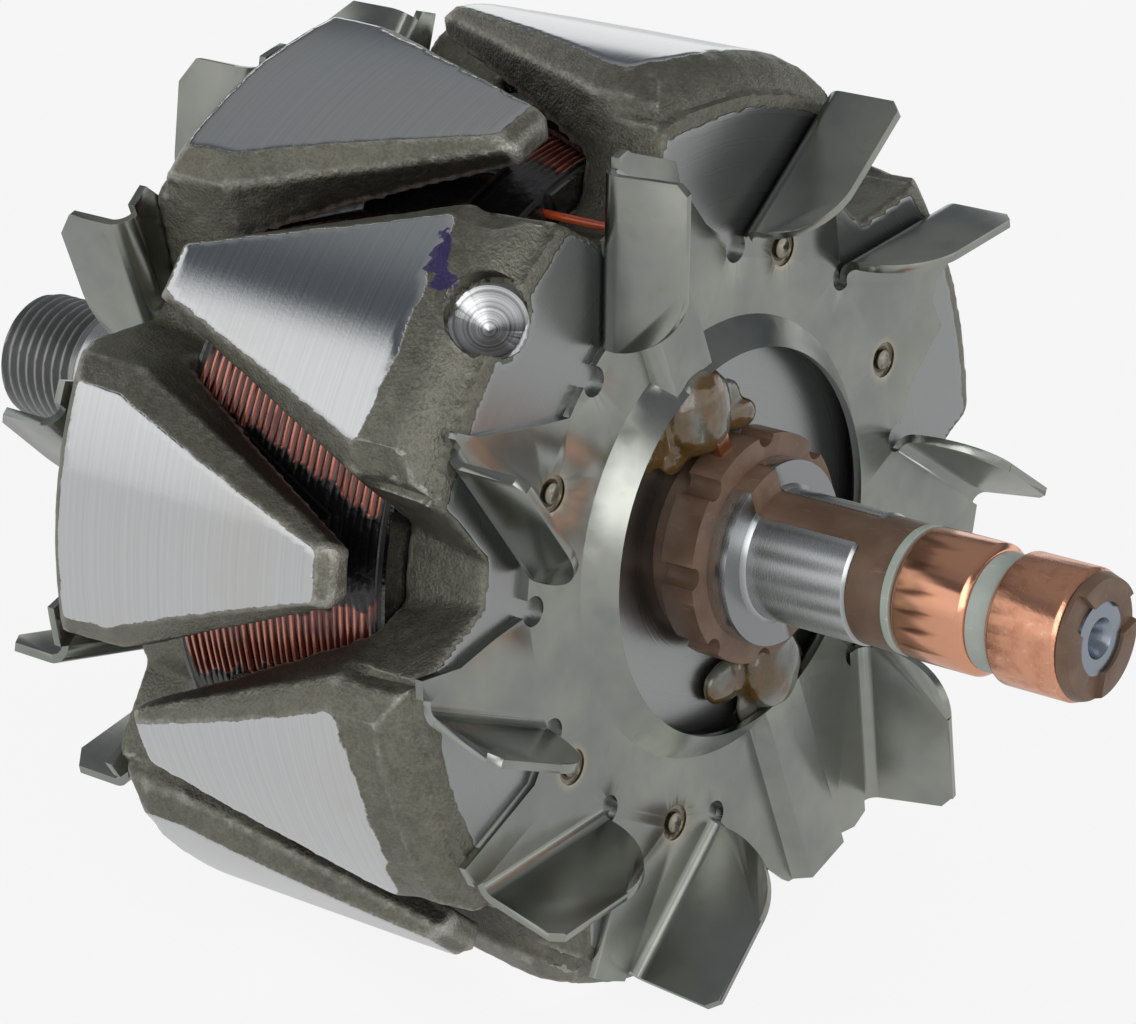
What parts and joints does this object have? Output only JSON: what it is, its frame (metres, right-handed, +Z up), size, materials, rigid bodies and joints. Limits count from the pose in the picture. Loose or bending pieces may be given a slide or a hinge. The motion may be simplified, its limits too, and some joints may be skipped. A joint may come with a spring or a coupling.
{
  "type": "generator rotor",
  "caption": "Claw-pole rotor of a vehicle generator: interleaved forged claws round a copper field winding, sheet-steel fans at both ends and slip rings on the shaft.",
  "frame": {"origin": "middle of the overall length, on the shaft's axis", "axes": "+X along the shaft towards the slip rings, +Z up, one claw of the slip-ring end 8 degrees from the top towards +Y"},
  "size_m": [0.1594, 0.108, 0.108],
  "materials": {
    "shaft_steel": "turned and ground",
    "pole_steel": "forged",
    "drive_pole_steel": "forged skin, turned outside and end face",
    "slip_pole_steel": "forged skin, turned outside and end face",
    "bobbin_plastic": "moulded",
    "winding_copper": "enamelled copper wire, varnished",
    "star_insulation": "varnished",
    "drive_fan_steel": "satin sheet",
    "slip_fan_steel": "satin sheet, yellowish passivation",
    "brown_plastic": "moulded",
    "inner_ring_copper": "turned copper",
    "outer_ring_copper": "worn copper",
    "pale_plastic": "moulded",
    "bar_copper": "drawn copper",
    "lead_copper": "enamelled copper wire",
    "resin": "cured resin"
  },
  "bodies": {
    "root": {"shaft": "shaft_steel", "pole_core": "pole_steel", "drive_end_claw_pole": "drive_pole_steel", "slip_ring_end_claw_pole": "slip_pole_steel", "winding_bobbin": "bobbin_plastic", "field_winding": "winding_copper", "drive_end_insulating_star": "star_insulation", "slip_ring_end_insulating_star": "star_insulation", "drive_end_fan": "drive_fan_steel", "slip_ring_end_fan": "slip_fan_steel", "slip_ring_moulding": "brown_plastic", "inner_slip_ring": "inner_ring_copper", "outer_slip_ring": "outer_ring_copper", "middle_insulating_ring": "pale_plastic", "inner_insulating_ring": "pale_plastic", "conductor_bar_outer": "bar_copper", "conductor_bar_inner": "bar_copper", "winding_lead_upper": "lead_copper", "winding_lead_lower": "lead_copper", "lead_resin_upper": "resin", "lead_resin_lower": "resin"}
  },
  "joints": []
}
